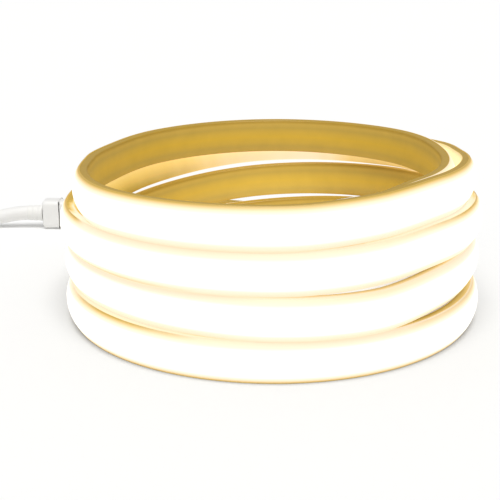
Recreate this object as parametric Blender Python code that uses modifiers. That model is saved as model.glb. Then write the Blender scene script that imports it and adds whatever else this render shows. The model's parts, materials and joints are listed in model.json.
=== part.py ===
"""LED strip light: a flexible domed light strip wound into a coil, with its power lead.

The strip stands on its edge, flat back towards the middle of the coil and milky dome
outwards.  It starts with a hidden end inside the top turn, winds down four turns and runs
off behind the coil to a moulded connector, where the white power lead takes over.
Lengths are in metres, +Z is up and the part stands on z = 0.
"""

import math

import bpy
from mathutils import Matrix, Vector

MM = 0.001

# Strip section: x points from the flat back to the dome, y is up the standing strip
STRIP_WIDTH = 12.0 * MM
BASE_THICKNESS = 2.3 * MM
BASE_CHAMFER = 0.4 * MM
DOME_HEIGHT = 2.2 * MM
DOME_SKIRT = 0.2 * MM          # its straight side above the seam
DOME_SEGMENTS = 8
SEAT_GAP = 0.3 * MM            # between pieces that touch
BOARD_WIDTH = 8.4 * MM
BOARD_THICKNESS = 0.5 * MM
WIRE_DIAMETER = 0.7 * MM
WIRE_SPACING = 6.6 * MM
WIRE_SIDES = 6

# Coil
COIL_RADIUS = 65.0 * MM        # to the seam between base and dome
STACK_GAP = 0.3 * MM           # between a turn and the one it stands on
NEST_GAP = 0.4 * MM            # between a turn and the one it lies inside
STATIONS_PER_TURN = 24
START_ANGLE = -75.0            # degrees, the hidden end inside the top turn
LEAVE_ANGLE = 1485.0           # where the strip leaves the coil

# The winding, read round the coil: angle in degrees, height in layers, how far it nests
# inside (-) or outside (+) its neighbour in strip thicknesses, and its own swell in mm
WINDING = [
    (-112.5, 2.60, -1.0, -2.2), (-90.0, 2.72, -1.0, -2.2), (-67.5, 2.89, -1.0, -1.9),
    (-45.0, 3.15, -1.0, -2.0), (0.0, 3.19, -1.0, -5.0), (45.0, 3.17, -0.5, -2.7),
    (90.0, 3.14, -0.5, 0.1), (135.0, 3.07, -0.5, -2.1), (157.5, 3.01, -0.5, -3.9),
    (180.0, 3.00, 0.0, -5.9), (202.5, 3.00, 0.0, -2.9), (225.0, 3.00, 0.0, -0.3),
    (270.0, 3.02, 0.0, 0.0), (292.5, 3.13, 0.0, -0.6), (315.0, 3.28, 0.0, -1.5),
    (337.5, 3.27, 0.0, -3.0), (360.0, 3.16, 0.0, -4.7), (382.5, 3.03, 0.0, -2.0),
    (405.0, 2.94, 0.5, -2.3), (450.0, 2.75, 0.5, 0.5), (495.0, 2.31, 0.5, -1.5),
    (517.5, 2.05, 0.5, -1.9), (540.0, 2.00, 0.0, 0.5), (585.0, 2.00, 0.0, -0.4),
    (630.0, 2.01, 0.0, -0.4), (652.5, 2.11, 0.0, 0.0), (675.0, 2.27, 0.0, -0.2),
    (697.5, 2.26, 0.0, -0.7), (720.0, 2.16, 0.0, -1.2), (742.5, 2.03, 0.0, -1.7),
    (765.0, 1.94, 0.0, -1.8), (810.0, 1.70, 0.0, -1.6), (855.0, 1.26, 0.0, -1.6),
    (877.5, 1.03, 0.0, -0.9), (900.0, 1.00, 0.0, -0.3), (922.5, 1.00, 0.0, -1.1),
    (945.0, 1.00, 0.0, -1.9), (967.5, 1.00, 0.0, -1.4), (990.0, 1.00, 0.0, 0.1),
    (1012.5, 1.01, 0.0, 0.4), (1035.0, 1.18, 0.0, -0.2), (1057.5, 1.23, 0.0, -1.0),
    (1080.0, 1.14, 0.0, -1.3), (1102.5, 1.03, -0.2, -1.4), (1125.0, 0.94, -0.5, -1.3),
    (1170.0, 0.62, -0.5, -2.0), (1215.0, 0.23, -0.5, -1.3), (1237.5, 0.03, -0.3, -1.0),
    (1260.0, 0.00, 0.0, -0.5), (1305.0, 0.00, 0.0, 0.0), (1350.0, 0.00, 0.0, -0.4),
    (1395.0, 0.00, 0.0, -0.5), (1440.0, 0.00, 0.0, -0.2), (1485.0, 0.00, 0.5, -0.1),
    (1530.0, 0.00, 1.5, 3.9),
]

# Tail: from the coil to the connector, which points along -X
TAIL_SEGMENTS = 9
TAIL_BOW = 0.60                # share of the way to the corner that each handle reaches
TAIL_Y = 88.5 * MM
STRAIGHT_START_X = -42.8 * MM
STRAIGHT_LENGTH = 30.0 * MM    # the strip's last, straight piece
SOCKET_LEAN = 0.15 * MM        # how far its tip leans aside within the socket's slack

# End cap on the hidden end
CAP_LENGTH = 9.0 * MM
CAP_WALL = 0.7 * MM
CAP_CORNER = 0.6 * MM
CAP_END_WALL = 1.2 * MM

# Connector: a socket that takes the strip's end, a slimmer neck and a collar
FIT_GAP = 0.3 * MM
SOCKET_WALL = 0.7 * MM         # above and below the strip
SOCKET_SIDE = 1.3 * MM         # in front of it and behind it
SOCKET_DEPTH = 14.0 * MM
SOCKET_LENGTH = 20.0 * MM
SOCKET_CORNER = 1.6 * MM
NECK_LENGTH = 9.0 * MM
NECK_HEIGHT = 11.2 * MM
NECK_DEPTH = 7.6 * MM
COLLAR_LENGTH = 7.0 * MM
COLLAR_HEIGHT = 11.8 * MM
COLLAR_DEPTH = 8.4 * MM
COLLAR_CORNER = 2.2 * MM
LEAD_AXIS_Z = 6.4 * MM

# Power lead
CORD_DIAMETER = 6.0 * MM
RELIEF_DIAMETER = 6.8 * MM
RELIEF_LENGTH = 6.4 * MM
RING_CENTRE_X = -162.0 * MM
RING_TURN_MIN = 27.0 * MM      # radius of the lead's innermost turn
RING_TURN_MAX = 42.0 * MM      # radius of the lead's outermost turn
RING_LAYERS = 2
RING_STEPS = 32
TIE_WIDTH = 8.0 * MM
TIE_THICKNESS = 0.6 * MM
TIE_CLEARANCE = 0.2 * MM
TIE_ANGLE = -50.0              # degrees round the ring

# Plug: a flat two-pin body, lying beside the ring
PLUG_LENGTH = 34.0 * MM
PLUG_WIDTH = 26.0 * MM
PLUG_TAIL_WIDTH = 14.0 * MM
PLUG_THICKNESS = 13.6 * MM
PLUG_CORNER = 3.0 * MM
PLUG_RELIEF_LENGTH = 22.0 * MM
PLUG_RELIEF_END = 9.5 * MM
PIN_DIAMETER = 4.0 * MM
PIN_LENGTH = 19.0 * MM
PIN_SPACING = 18.6 * MM
PLUG_DROP = 54.0 * MM          # from the ring's middle to the plug's strain relief

# Worked out from the sizes above
LAYER = STRIP_WIDTH + STACK_GAP
STRIP_THICKNESS = BASE_THICKNESS + SEAT_GAP + DOME_HEIGHT
NEST = STRIP_THICKNESS + NEST_GAP
CORD_RADIUS = CORD_DIAMETER / 2
TIE_LIFT = TIE_THICKNESS + TIE_CLEARANCE
RING_INNER = RING_TURN_MIN - CORD_RADIUS
RING_OUTER = RING_TURN_MAX + CORD_RADIUS
RING_HEIGHT = RING_LAYERS * CORD_DIAMETER
SOCKET_HEIGHT = STRIP_WIDTH + 2 * (FIT_GAP + SOCKET_WALL)
SOCKET_THICKNESS = STRIP_THICKNESS + 2 * (FIT_GAP + SOCKET_SIDE)
TAIL_LIFT = FIT_GAP + SOCKET_WALL


def clear_scene():
    """Remove every object, so that the script can be run again."""
    for old in list(bpy.data.objects):
        bpy.data.objects.remove(old, do_unlink=True)


def collection(name):
    """A new collection, linked to the scene."""
    made = bpy.data.collections.new(name)
    bpy.context.scene.collection.children.link(made)
    return made


def material(name, colour, roughness, metallic=0.0, glow=0.0):
    """A Principled material; glow is the strength of its own light."""
    made = bpy.data.materials.new(name)
    made.use_nodes = True
    shader = made.node_tree.nodes["Principled BSDF"]
    shader.inputs["Base Color"].default_value = (*colour, 1.0)
    shader.inputs["Roughness"].default_value = roughness
    shader.inputs["Metallic"].default_value = metallic
    shader.inputs["Emission Color"].default_value = (*colour, 1.0)
    shader.inputs["Emission Strength"].default_value = glow
    return made


def link(thing, name, finish, parent):
    """Make a sub-part's object from a mesh or a curve and hang it on the parent empty."""
    made = bpy.data.objects.new(name, thing)
    PARTS.objects.link(made)
    made.data.materials.append(finish)
    made.parent = parent
    return made


def guide(thing, name):
    """A cutter or a section: kept out of the render."""
    made = bpy.data.objects.new(name, thing)
    CUTTERS.objects.link(made)
    made.hide_render = True
    made.display_type = "WIRE"
    return made


def poly_curve(name, points, closed=False):
    """A curve of straight pieces through the points."""
    made = bpy.data.curves.new(name, "CURVE")
    made.dimensions = "3D"
    spline = made.splines.new("POLY")
    spline.points.add(len(points) - 1)
    for place, point in zip(spline.points, points):
        place.co = (*point, 1.0)
    spline.use_cyclic_u = closed
    return made


def winding_at(angle):
    """Height in layers and radius in metres of the coil at an angle in degrees."""
    after = next(i for i, row in enumerate(WINDING) if row[0] > angle)
    before = after - 1
    span = WINDING[after][0] - WINDING[before][0]
    share = (angle - WINDING[before][0]) / span
    values = []
    for column in (1, 2, 3):
        ends = []
        for row in (before, after):
            ends.append(slope_at(row, column) * span)
        start, end = WINDING[before][column], WINDING[after][column]
        a = 2 * start - 2 * end + ends[0] + ends[1]
        b = -3 * start + 3 * end - 2 * ends[0] - ends[1]
        values.append(((a * share + b) * share + ends[0]) * share + start)
    layer, nest, swell = values
    return layer, COIL_RADIUS + nest * NEST + swell * MM


def slope_at(row, column):
    """Slope of a winding column at one of its rows, flat where the values turn back."""
    if row == 0 or row == len(WINDING) - 1:
        return 0.0
    slopes = []
    for low in (row - 1, row):
        rise = WINDING[low + 1][column] - WINDING[low][column]
        slopes.append(rise / (WINDING[low + 1][0] - WINDING[low][0]))
    if slopes[0] * slopes[1] <= 0:
        return 0.0
    return 2 * slopes[0] * slopes[1] / (slopes[0] + slopes[1])


def coil_point(angle):
    """The strip's seam line, at half its height, at an angle in degrees."""
    layer, radius = winding_at(angle)
    turn = math.radians(angle)
    height = layer * LAYER + STRIP_WIDTH / 2
    return Vector((radius * math.cos(turn), radius * math.sin(turn), height))


def strip_path():
    """Points along the whole strip, from its hidden end to the connector."""
    count = round((LEAVE_ANGLE - START_ANGLE) * STATIONS_PER_TURN / 360)
    step = (LEAVE_ANGLE - START_ANGLE) / count
    points = [coil_point(START_ANGLE + i * step) for i in range(count + 1)]
    leave = points[-1]
    heading = (coil_point(LEAVE_ANGLE + 1) - coil_point(LEAVE_ANGLE - 1)).normalized()
    straight = Vector((STRAIGHT_START_X, TAIL_Y, STRIP_WIDTH / 2 + TAIL_LIFT))
    corner = leave + (TAIL_Y - leave.y) / heading.y * heading
    first = leave.lerp(corner, TAIL_BOW)
    second = straight.lerp(Vector((corner.x, corner.y, straight.z)), TAIL_BOW)
    for i in range(1, TAIL_SEGMENTS + 1):
        t = i / TAIL_SEGMENTS
        u = 1 - t
        points.append(u ** 3 * leave + 3 * u * u * t * first
                      + 3 * u * t * t * second + t ** 3 * straight)
    in_open = STRAIGHT_LENGTH - SOCKET_DEPTH
    points.append(straight - Vector((in_open, 0, 0)))
    points.append(straight + Vector((-STRAIGHT_LENGTH, SOCKET_LEAN, 0)))
    return points


def sweep(name, section, path, finish, parent):
    """Run a closed section, given in strip coordinates, along the strip's path."""
    outline = poly_curve(name + "_section", [(x, y, 0) for x, y in section], closed=True)
    outline.dimensions = "2D"
    shape = guide(outline, name + "_section")
    curve = poly_curve(name, path)
    curve.twist_mode = "Z_UP"
    curve.bevel_mode = "OBJECT"
    curve.bevel_object = shape
    curve.use_fill_caps = True
    return link(curve, name, finish, parent)


def base_section():
    """The base: chamfered back, a seat for the board and a groove for each wire."""
    half = STRIP_WIDTH / 2
    back = -BASE_THICKNESS
    seat = -(BOARD_THICKNESS + SEAT_GAP)
    seat_half = BOARD_WIDTH / 2 + SEAT_GAP
    groove_half = WIRE_DIAMETER / 2 + SEAT_GAP
    groove = seat - WIRE_DIAMETER - SEAT_GAP
    inner, outer = WIRE_SPACING / 2 - groove_half, WIRE_SPACING / 2 + groove_half
    upper = [(seat, inner), (groove, inner), (groove, outer), (seat, outer),
             (seat, seat_half), (0, seat_half), (0, half),
             (back + BASE_CHAMFER, half), (back, half - BASE_CHAMFER)]
    lower = [(x, -y) for x, y in reversed(upper)]
    return list(reversed(upper + lower))


def dome_section():
    """The diffuser: a shallow lens on a short skirt, flat at the back."""
    half = STRIP_WIDTH / 2
    rise = DOME_HEIGHT - DOME_SKIRT
    radius = (half ** 2 + rise ** 2) / (2 * rise)
    reach = math.asin(half / radius)
    points = [(SEAT_GAP, half)]
    for i in range(DOME_SEGMENTS + 1):
        turn = reach * (1 - 2 * i / DOME_SEGMENTS)
        points.append((SEAT_GAP + DOME_HEIGHT - radius * (1 - math.cos(turn)),
                       radius * math.sin(turn)))
    points.append((SEAT_GAP, -half))
    return points


def board_section():
    """The circuit board: a thin ribbon, flush with the base's front."""
    half = BOARD_WIDTH / 2
    return [(-BOARD_THICKNESS, half), (0, half), (0, -half), (-BOARD_THICKNESS, -half)]


def wire_section(side):
    """A supply wire in its groove; side is 1 for the upper one, -1 for the lower."""
    radius = WIRE_DIAMETER / 2
    x = -(BOARD_THICKNESS + SEAT_GAP + radius)
    y = side * WIRE_SPACING / 2
    points = []
    for i in range(WIRE_SIDES):
        turn = -2 * math.pi * (i + 0.5) / WIRE_SIDES
        points.append((x + radius * math.cos(turn), y + radius * math.sin(turn)))
    return points


def box_mesh(name, low, high):
    """A box between two corners."""
    bpy.ops.mesh.primitive_cube_add(size=1)
    cube = bpy.context.object
    mesh = cube.data
    mesh.name = name
    bpy.data.objects.remove(cube)
    low, high = Vector(low), Vector(high)
    mesh.transform(Matrix.Translation((low + high) / 2) @ Matrix.Diagonal((*(high - low), 1)))
    return mesh


def bevel(made, width, segments=3, along=None):
    """Round a box's edges: all of them, or only those that run along one axis."""
    if along is not None:
        weights = made.data.attributes.new("bevel_weight_edge", "FLOAT", "EDGE")
        for edge in made.data.edges:
            a, b = (made.data.vertices[i].co for i in edge.vertices)
            weights.data[edge.index].value = float(abs((b - a).normalized()[along]) > 0.9)
    rounding = made.modifiers.new("rounding", "BEVEL")
    rounding.width = width
    rounding.segments = segments
    rounding.limit_method = "ANGLE" if along is None else "WEIGHT"
    return made


def cut(made, cutter, operation="DIFFERENCE"):
    """Cut a guide out of a sub-part, or join it on."""
    step = made.modifiers.new("cut", "BOOLEAN")
    step.operation = operation
    step.object = cutter
    return made


def end_cap(path, parent):
    """The cap glued over the strip's hidden end, which climbs a little there."""
    middle = (DOME_HEIGHT + SEAT_GAP - BASE_THICKNESS) / 2
    side = STRIP_THICKNESS / 2 + FIT_GAP
    top = STRIP_WIDTH / 2 + FIT_GAP
    heading = path[1] - path[0]
    turn = math.atan2(heading.y, heading.x) - math.pi / 2
    climb = math.atan2(heading.z, math.hypot(heading.x, heading.y))
    slack = FIT_GAP + STRIP_WIDTH / 2 * math.sin(climb)
    tip = slack + CAP_END_WALL
    over = CAP_LENGTH - tip
    cap = link(box_mesh("end_cap", (middle - side - CAP_WALL, -tip, -top - CAP_WALL),
                        (middle + side + CAP_WALL, over, top + CAP_WALL)),
               "end_cap", WHITE_SOFT, parent)
    bevel(cap, CAP_CORNER, 2)
    pocket = guide(box_mesh("cap_pocket", (middle - side, -slack, -top),
                            (middle + side, over + CAP_WALL, top)), "cap_pocket")
    for made in (cap, pocket):
        made.location = path[0]
        made.rotation_euler = (climb, 0, turn)
        made.parent = parent
    return cut(cap, pocket)


def connector(path, parent):
    """The moulded connector: socket, neck and collar in one piece."""
    tip = path[-1]
    middle_y = TAIL_Y + (DOME_HEIGHT + SEAT_GAP - BASE_THICKNESS) / 2
    mouth = tip.x - FIT_GAP + SOCKET_DEPTH
    neck = mouth - SOCKET_LENGTH
    collar = neck - NECK_LENGTH
    back = collar - COLLAR_LENGTH
    half = SOCKET_THICKNESS / 2
    body = link(box_mesh("power_connector", (neck, middle_y - half, 0),
                         (mouth, middle_y + half, SOCKET_HEIGHT)),
                "power_connector", WHITE_HARD, parent)
    bevel(body, SOCKET_CORNER)
    neck_box = guide(box_mesh("connector_neck",
                              (collar - COLLAR_CORNER, middle_y - NECK_DEPTH / 2,
                               LEAD_AXIS_Z - NECK_HEIGHT / 2),
                              (neck + SOCKET_CORNER, middle_y + NECK_DEPTH / 2,
                               LEAD_AXIS_Z + NECK_HEIGHT / 2)), "connector_neck")
    bevel(neck_box, SOCKET_CORNER, along=0)
    collar_box = guide(box_mesh("connector_collar",
                                (back, middle_y - COLLAR_DEPTH / 2,
                                 LEAD_AXIS_Z - COLLAR_HEIGHT / 2),
                                (collar, middle_y + COLLAR_DEPTH / 2,
                                 LEAD_AXIS_Z + COLLAR_HEIGHT / 2)), "connector_collar")
    bevel(collar_box, COLLAR_CORNER)
    side = STRIP_THICKNESS / 2 + FIT_GAP
    pocket = guide(box_mesh("connector_pocket",
                            (tip.x - FIT_GAP, middle_y - side, SOCKET_WALL),
                            (mouth + SOCKET_WALL, middle_y + side,
                             SOCKET_HEIGHT - SOCKET_WALL)), "connector_pocket")
    cut(body, neck_box, "UNION")
    cut(body, collar_box, "UNION")
    cut(body, pocket)
    for made in (neck_box, collar_box, pocket):
        made.parent = parent
    return Vector((back, middle_y, LEAD_AXIS_Z))


def turned(name, profile, sides, finish, parent):
    """A round piece about its own X axis: profile of (distance along X, radius)."""
    mesh = bpy.data.meshes.new(name)
    points = [(x, radius, 0) for x, radius in profile]
    mesh.from_pydata(points, [(i, i + 1) for i in range(len(points) - 1)], [])
    made = link(mesh, name, finish, parent)
    screw = made.modifiers.new("turn", "SCREW")
    screw.axis = "X"
    screw.steps = screw.render_steps = sides
    screw.use_merge_vertices = True
    screw.merge_threshold = 0.00001
    screw.use_normal_flip = True
    screw.use_smooth_shade = True
    return made


def tube(name, route, finish, parent):
    """A stretch of the lead: a round tube on a smooth curve through the route."""
    curve = poly_curve(name, smooth_route(route))
    curve.bevel_depth = CORD_RADIUS
    curve.bevel_resolution = 2
    curve.use_fill_caps = True
    return link(curve, name, finish, parent)


def smooth_route(route):
    """Points every two diameters or so on a smooth curve through the route's points."""
    points = [Vector(point) for point in route]
    ends = [2 * points[0] - points[1]] + points + [2 * points[-1] - points[-2]]
    made = [points[0]]
    for i in range(1, len(ends) - 2):
        before, start, end, after = ends[i - 1:i + 3]
        steps = max(1, round((end - start).length / (2 * CORD_DIAMETER)))
        for j in range(1, steps + 1):
            t = j / steps
            made.append(0.5 * (2 * start + (end - before) * t
                               + (2 * before - 5 * start + 4 * end - after) * t ** 2
                               + (3 * start - before - 3 * end + after) * t ** 3))
    return made


def cord_ring(centre, parent):
    """The wound part of the lead as one turned ring."""
    low, high = TIE_LIFT, TIE_LIFT + RING_HEIGHT
    corner = CORD_RADIUS / 2
    profile = [(RING_OUTER - corner, high), (RING_OUTER, high - corner),
               (RING_OUTER, low + corner), (RING_OUTER - corner, low),
               (RING_INNER + corner, low), (RING_INNER, low + corner),
               (RING_INNER, high - corner), (RING_INNER + corner, high)]
    mesh = bpy.data.meshes.new("cord_coil")
    count = len(profile)
    mesh.from_pydata([(x, 0, z) for x, z in profile],
                     [(i, (i + 1) % count) for i in range(count)], [])
    made = link(mesh, "cord_coil", CORD_WHITE, parent)
    made.location = (centre.x, centre.y, 0)
    screw = made.modifiers.new("turn", "SCREW")
    screw.steps = screw.render_steps = RING_STEPS
    screw.use_merge_vertices = True
    screw.merge_threshold = 0.00001
    return made


def cord_tie(centre, parent):
    """The tie round the wound lead: a closed band."""
    turn = math.radians(TIE_ANGLE)
    inner = math.sqrt(RING_INNER ** 2 - (TIE_WIDTH / 2) ** 2) - TIE_CLEARANCE
    outer = RING_OUTER + TIE_CLEARANCE
    low, high = TIE_THICKNESS, TIE_LIFT + RING_HEIGHT + TIE_CLEARANCE
    half = TIE_WIDTH / 2
    band = link(box_mesh("cord_tie", (inner - TIE_THICKNESS, -half, 0),
                         (outer + TIE_THICKNESS, half, high + TIE_THICKNESS)),
                "cord_tie", TIE_GREY, parent)
    opening = guide(box_mesh("tie_opening", (inner, -TIE_WIDTH, low),
                             (outer, TIE_WIDTH, high)), "tie_opening")
    for made in (band, opening):
        made.location = (centre.x, centre.y, 0)
        made.rotation_euler = (0, 0, turn)
        made.parent = parent
    return cut(band, opening)


def plug(start, parent):
    """The plug beside the ring, pointing along -Y: relief, tapered body and two pins."""
    axis_z = PLUG_THICKNESS / 2
    relief = turned("plug_relief", [(0, 0), (0, CORD_RADIUS + FIT_GAP),
                                    (PLUG_RELIEF_LENGTH, PLUG_RELIEF_END / 2),
                                    (PLUG_RELIEF_LENGTH, 0)], 16, WHITE_SOFT, parent)
    relief.location = (start.x, start.y, axis_z)
    relief.rotation_euler = (0, 0, -math.pi / 2)
    back = start.y - PLUG_RELIEF_LENGTH - SEAT_GAP
    front = back - PLUG_LENGTH
    outline = [(-PLUG_TAIL_WIDTH / 2, back), (-PLUG_WIDTH / 2, back - PLUG_LENGTH * 0.55),
               (-PLUG_WIDTH / 2, front), (PLUG_WIDTH / 2, front),
               (PLUG_WIDTH / 2, back - PLUG_LENGTH * 0.55), (PLUG_TAIL_WIDTH / 2, back)]
    mesh = bpy.data.meshes.new("plug_body")
    mesh.from_pydata([(start.x + x, y, 0) for x, y in outline], [], [range(len(outline))])
    body = link(mesh, "plug_body", WHITE_HARD, parent)
    thick = body.modifiers.new("thickness", "SOLIDIFY")
    thick.thickness = PLUG_THICKNESS
    thick.offset = 1.0
    bevel(body, PLUG_CORNER, 3)
    for name, side in (("plug_pin_left", -1), ("plug_pin_right", 1)):
        tip = PIN_DIAMETER / 4
        pin = turned(name, [(0, 0), (0, PIN_DIAMETER / 2),
                            (PIN_LENGTH - tip, PIN_DIAMETER / 2),
                            (PIN_LENGTH, PIN_DIAMETER / 2 - tip), (PIN_LENGTH, 0)],
                     12, PIN_METAL, parent)
        pin.location = (start.x + side * PIN_SPACING / 2, front - SEAT_GAP, axis_z)
        pin.rotation_euler = (0, 0, -math.pi / 2)


def stand_in_middle(parent, names):
    """Move the whole part so that the named pieces' box is centred on the origin."""
    bpy.context.view_layer.update()
    depsgraph = bpy.context.evaluated_depsgraph_get()
    corners = []
    for name in names:
        seen = bpy.data.objects[name].evaluated_get(depsgraph)
        mesh = seen.to_mesh()
        corners += [seen.matrix_world @ vertex.co for vertex in mesh.vertices]
        seen.to_mesh_clear()
    low = [min(corner[i] for corner in corners) for i in range(3)]
    high = [max(corner[i] for corner in corners) for i in range(3)]
    parent.location = (-(low[0] + high[0]) / 2, -(low[1] + high[1]) / 2, -low[2])
    bpy.context.view_layer.update()
    return parent.location


clear_scene()
PARTS = collection("led_strip_light")
CUTTERS = collection("guides_and_cutters")
GOLD_BASE = material("translucent gold base", (0.62, 0.40, 0.07), 0.45)
MILKY = material("milky diffuser", (1.0, 0.93, 0.78), 0.35, glow=2.0)
BOARD = material("flexible circuit board", (0.80, 0.72, 0.40), 0.5)
COPPER = material("tinned copper wire", (0.75, 0.45, 0.25), 0.35, metallic=1.0)
WHITE_HARD = material("white moulded plastic", (0.86, 0.85, 0.82), 0.4)
WHITE_SOFT = material("white soft plastic", (0.84, 0.83, 0.80), 0.5)
CORD_WHITE = material("white lead sheath", (0.84, 0.83, 0.80), 0.5)
TIE_GREY = material("grey tie", (0.30, 0.30, 0.30), 0.6)
PIN_METAL = material("nickel-plated pin", (0.70, 0.68, 0.64), 0.25, metallic=1.0)

strip_light = bpy.data.objects.new("led_strip_light", None)
PARTS.objects.link(strip_light)

route = strip_path()
sweep("strip_base", base_section(), route, GOLD_BASE, strip_light)
sweep("strip_diffuser", dome_section(), route, MILKY, strip_light)
sweep("led_board", board_section(), route, BOARD, strip_light)
sweep("bus_wire_upper", wire_section(1), route, COPPER, strip_light)
sweep("bus_wire_lower", wire_section(-1), route, COPPER, strip_light)
end_cap(route, strip_light)
exit_point = connector(route, strip_light)

relief_start = exit_point - Vector((SEAT_GAP, 0, 0))
strain_relief = turned("strain_relief", [(0, 0), (0, RELIEF_DIAMETER / 2),
                                         (RELIEF_LENGTH, RELIEF_DIAMETER / 2 - SEAT_GAP),
                                         (RELIEF_LENGTH, 0)], 16, WHITE_SOFT, strip_light)
strain_relief.location = relief_start
strain_relief.rotation_euler = (0, 0, math.pi)

cord_start = relief_start - Vector((RELIEF_LENGTH + SEAT_GAP, 0, 0))
ring_centre = Vector((RING_CENTRE_X, cord_start.y - RING_TURN_MAX, 0))
clear = RING_OUTER + CORD_RADIUS + SEAT_GAP
along = math.sqrt(clear ** 2 - RING_TURN_MAX ** 2)
floor_z = CORD_RADIUS
coil_z = TIE_LIFT + CORD_RADIUS
ring_side = ring_centre.x + along
lead_route = [cord_start, cord_start + Vector((-4.5 * MM, 0, -0.35 * MM)),
              cord_start + Vector((-11.0 * MM, 0, -1.6 * MM)),
              cord_start + Vector((-18.0 * MM, 0, -2.8 * MM)),
              cord_start + Vector((-26.0 * MM, 0, floor_z + 0.1 * MM - LEAD_AXIS_Z)),
              (ring_side, cord_start.y, floor_z + 0.1 * MM)]
tube("power_cord", lead_route, CORD_WHITE, strip_light)
cord_ring(ring_centre, strip_light)
cord_tie(ring_centre, strip_light)

top_z = coil_z + CORD_DIAMETER
plug_axis_z = PLUG_THICKNESS / 2
plug_x = ring_centre.x - RING_TURN_MAX
plug_start = Vector((plug_x, ring_centre.y - PLUG_DROP, 0))
tail_route = [(plug_x, ring_centre.y - along, 6.9 * MM),
              (plug_x, ring_centre.y - along - 8 * MM, 5.8 * MM),
              (plug_x, ring_centre.y - along - 17 * MM, 5.6 * MM),
              (plug_x, plug_start.y + 6 * MM, plug_axis_z - 0.1 * MM),
              (plug_x, plug_start.y + SEAT_GAP, plug_axis_z)]
tube("plug_lead", tail_route, CORD_WHITE, strip_light)
plug(plug_start, strip_light)

shift = stand_in_middle(strip_light, ["strip_base", "strip_diffuser", "end_cap",
                                      "power_connector", "strain_relief"])
print("strip length", sum((b - a).length for a, b in zip(route, route[1:])))
print("frame shift", tuple(shift))
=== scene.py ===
# %% [markdown]
# An LED strip light, dressed for its picture.  The real thing is a flexible strip: a
# translucent golden base with two supply wires and a circuit board in it, and a milky
# dome that spreads the light.  It is wound into a standing coil of four turns and runs
# off to a moulded connector, a white lead and a plug.
#
# The solid model is already packed, so this file loads it as a fixed frame and builds the
# finer, lit surfaces round it, in the same place and at the same size.

# %% Load the frame
import bisect
import json
import math

import bmesh
import bpy
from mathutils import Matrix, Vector

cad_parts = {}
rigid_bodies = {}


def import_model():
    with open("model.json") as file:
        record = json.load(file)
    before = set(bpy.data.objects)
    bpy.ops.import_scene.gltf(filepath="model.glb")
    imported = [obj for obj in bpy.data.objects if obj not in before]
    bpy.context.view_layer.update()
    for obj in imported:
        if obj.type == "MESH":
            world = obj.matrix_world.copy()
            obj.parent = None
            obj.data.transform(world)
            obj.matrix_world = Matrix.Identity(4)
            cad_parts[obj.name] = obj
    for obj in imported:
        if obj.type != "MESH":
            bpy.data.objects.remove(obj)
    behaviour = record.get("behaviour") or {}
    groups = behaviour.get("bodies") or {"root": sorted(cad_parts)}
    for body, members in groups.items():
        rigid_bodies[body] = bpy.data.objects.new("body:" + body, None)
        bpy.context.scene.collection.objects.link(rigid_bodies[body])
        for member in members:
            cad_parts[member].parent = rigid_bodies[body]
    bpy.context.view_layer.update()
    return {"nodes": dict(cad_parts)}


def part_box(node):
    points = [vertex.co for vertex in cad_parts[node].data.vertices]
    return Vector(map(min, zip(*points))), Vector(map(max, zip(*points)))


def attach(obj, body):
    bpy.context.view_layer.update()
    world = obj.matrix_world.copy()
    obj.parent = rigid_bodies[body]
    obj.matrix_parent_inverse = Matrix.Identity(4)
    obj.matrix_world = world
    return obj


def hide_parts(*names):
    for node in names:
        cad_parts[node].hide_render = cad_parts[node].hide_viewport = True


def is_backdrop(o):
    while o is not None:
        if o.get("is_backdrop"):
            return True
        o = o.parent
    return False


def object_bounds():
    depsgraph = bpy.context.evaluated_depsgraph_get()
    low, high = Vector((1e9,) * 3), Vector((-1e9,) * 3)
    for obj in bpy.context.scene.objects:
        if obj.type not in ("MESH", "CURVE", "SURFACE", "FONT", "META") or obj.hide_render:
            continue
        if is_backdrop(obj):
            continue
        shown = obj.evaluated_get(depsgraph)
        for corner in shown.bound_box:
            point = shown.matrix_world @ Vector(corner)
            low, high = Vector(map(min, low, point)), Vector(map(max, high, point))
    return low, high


for old in list(bpy.data.objects):
    bpy.data.objects.remove(old, do_unlink=True)
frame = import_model()
MM = 0.001

# %% [markdown]
# Everything was measured from the coil's axis, so places are given from there in
# millimetres.  The strain relief tells where the axis stands in the frame: its end lies
# 101.8 mm to the left of the axis, and its middle 88.6 mm behind it.

# %% Places from the coil's axis
RELIEF_END_X, MIDDLE_Y, LEAD_Z = -101.8, 88.6, 6.4
relief_low, relief_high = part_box("strain_relief")
AXIS = Vector((relief_low.x - RELIEF_END_X * MM,
               (relief_low.y + relief_high.y) / 2 - MIDDLE_Y * MM, 0))


def place(x, y, z):
    """A point in the frame, given in millimetres from the foot of the coil's axis."""
    return AXIS + Vector((x, y, z)) * MM


print("coil axis in mm", [round(value / MM, 2) for value in AXIS])

# %% [markdown]
# The camera comes first, because it decides what has to look right.  The ellipses of the
# coil's rims give its tilt, 17.3 degrees down, and its distance, about 0.3 m.  A focal
# length of 909.6 pixels on a picture of 500 pixels is a 65.5 mm lens on a 36 mm sensor.

# %% Camera
PICTURE = 500                      # pixels
FOCAL_PIXELS = 909.6
SENSOR = 36                        # mm
TILT = 17.32                       # degrees down
bpy.ops.object.camera_add(location=place(-7.07, -287.5, 107.0),
                          rotation=(math.radians(90 - TILT), 0, 0))
camera = bpy.context.object
camera.name = "camera"
camera.data.sensor_width = SENSOR
camera.data.lens = SENSOR * FOCAL_PIXELS / PICTURE
camera.data.clip_start = 0.01
bpy.context.scene.camera = camera
print("lens in mm", round(camera.data.lens, 2))

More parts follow.
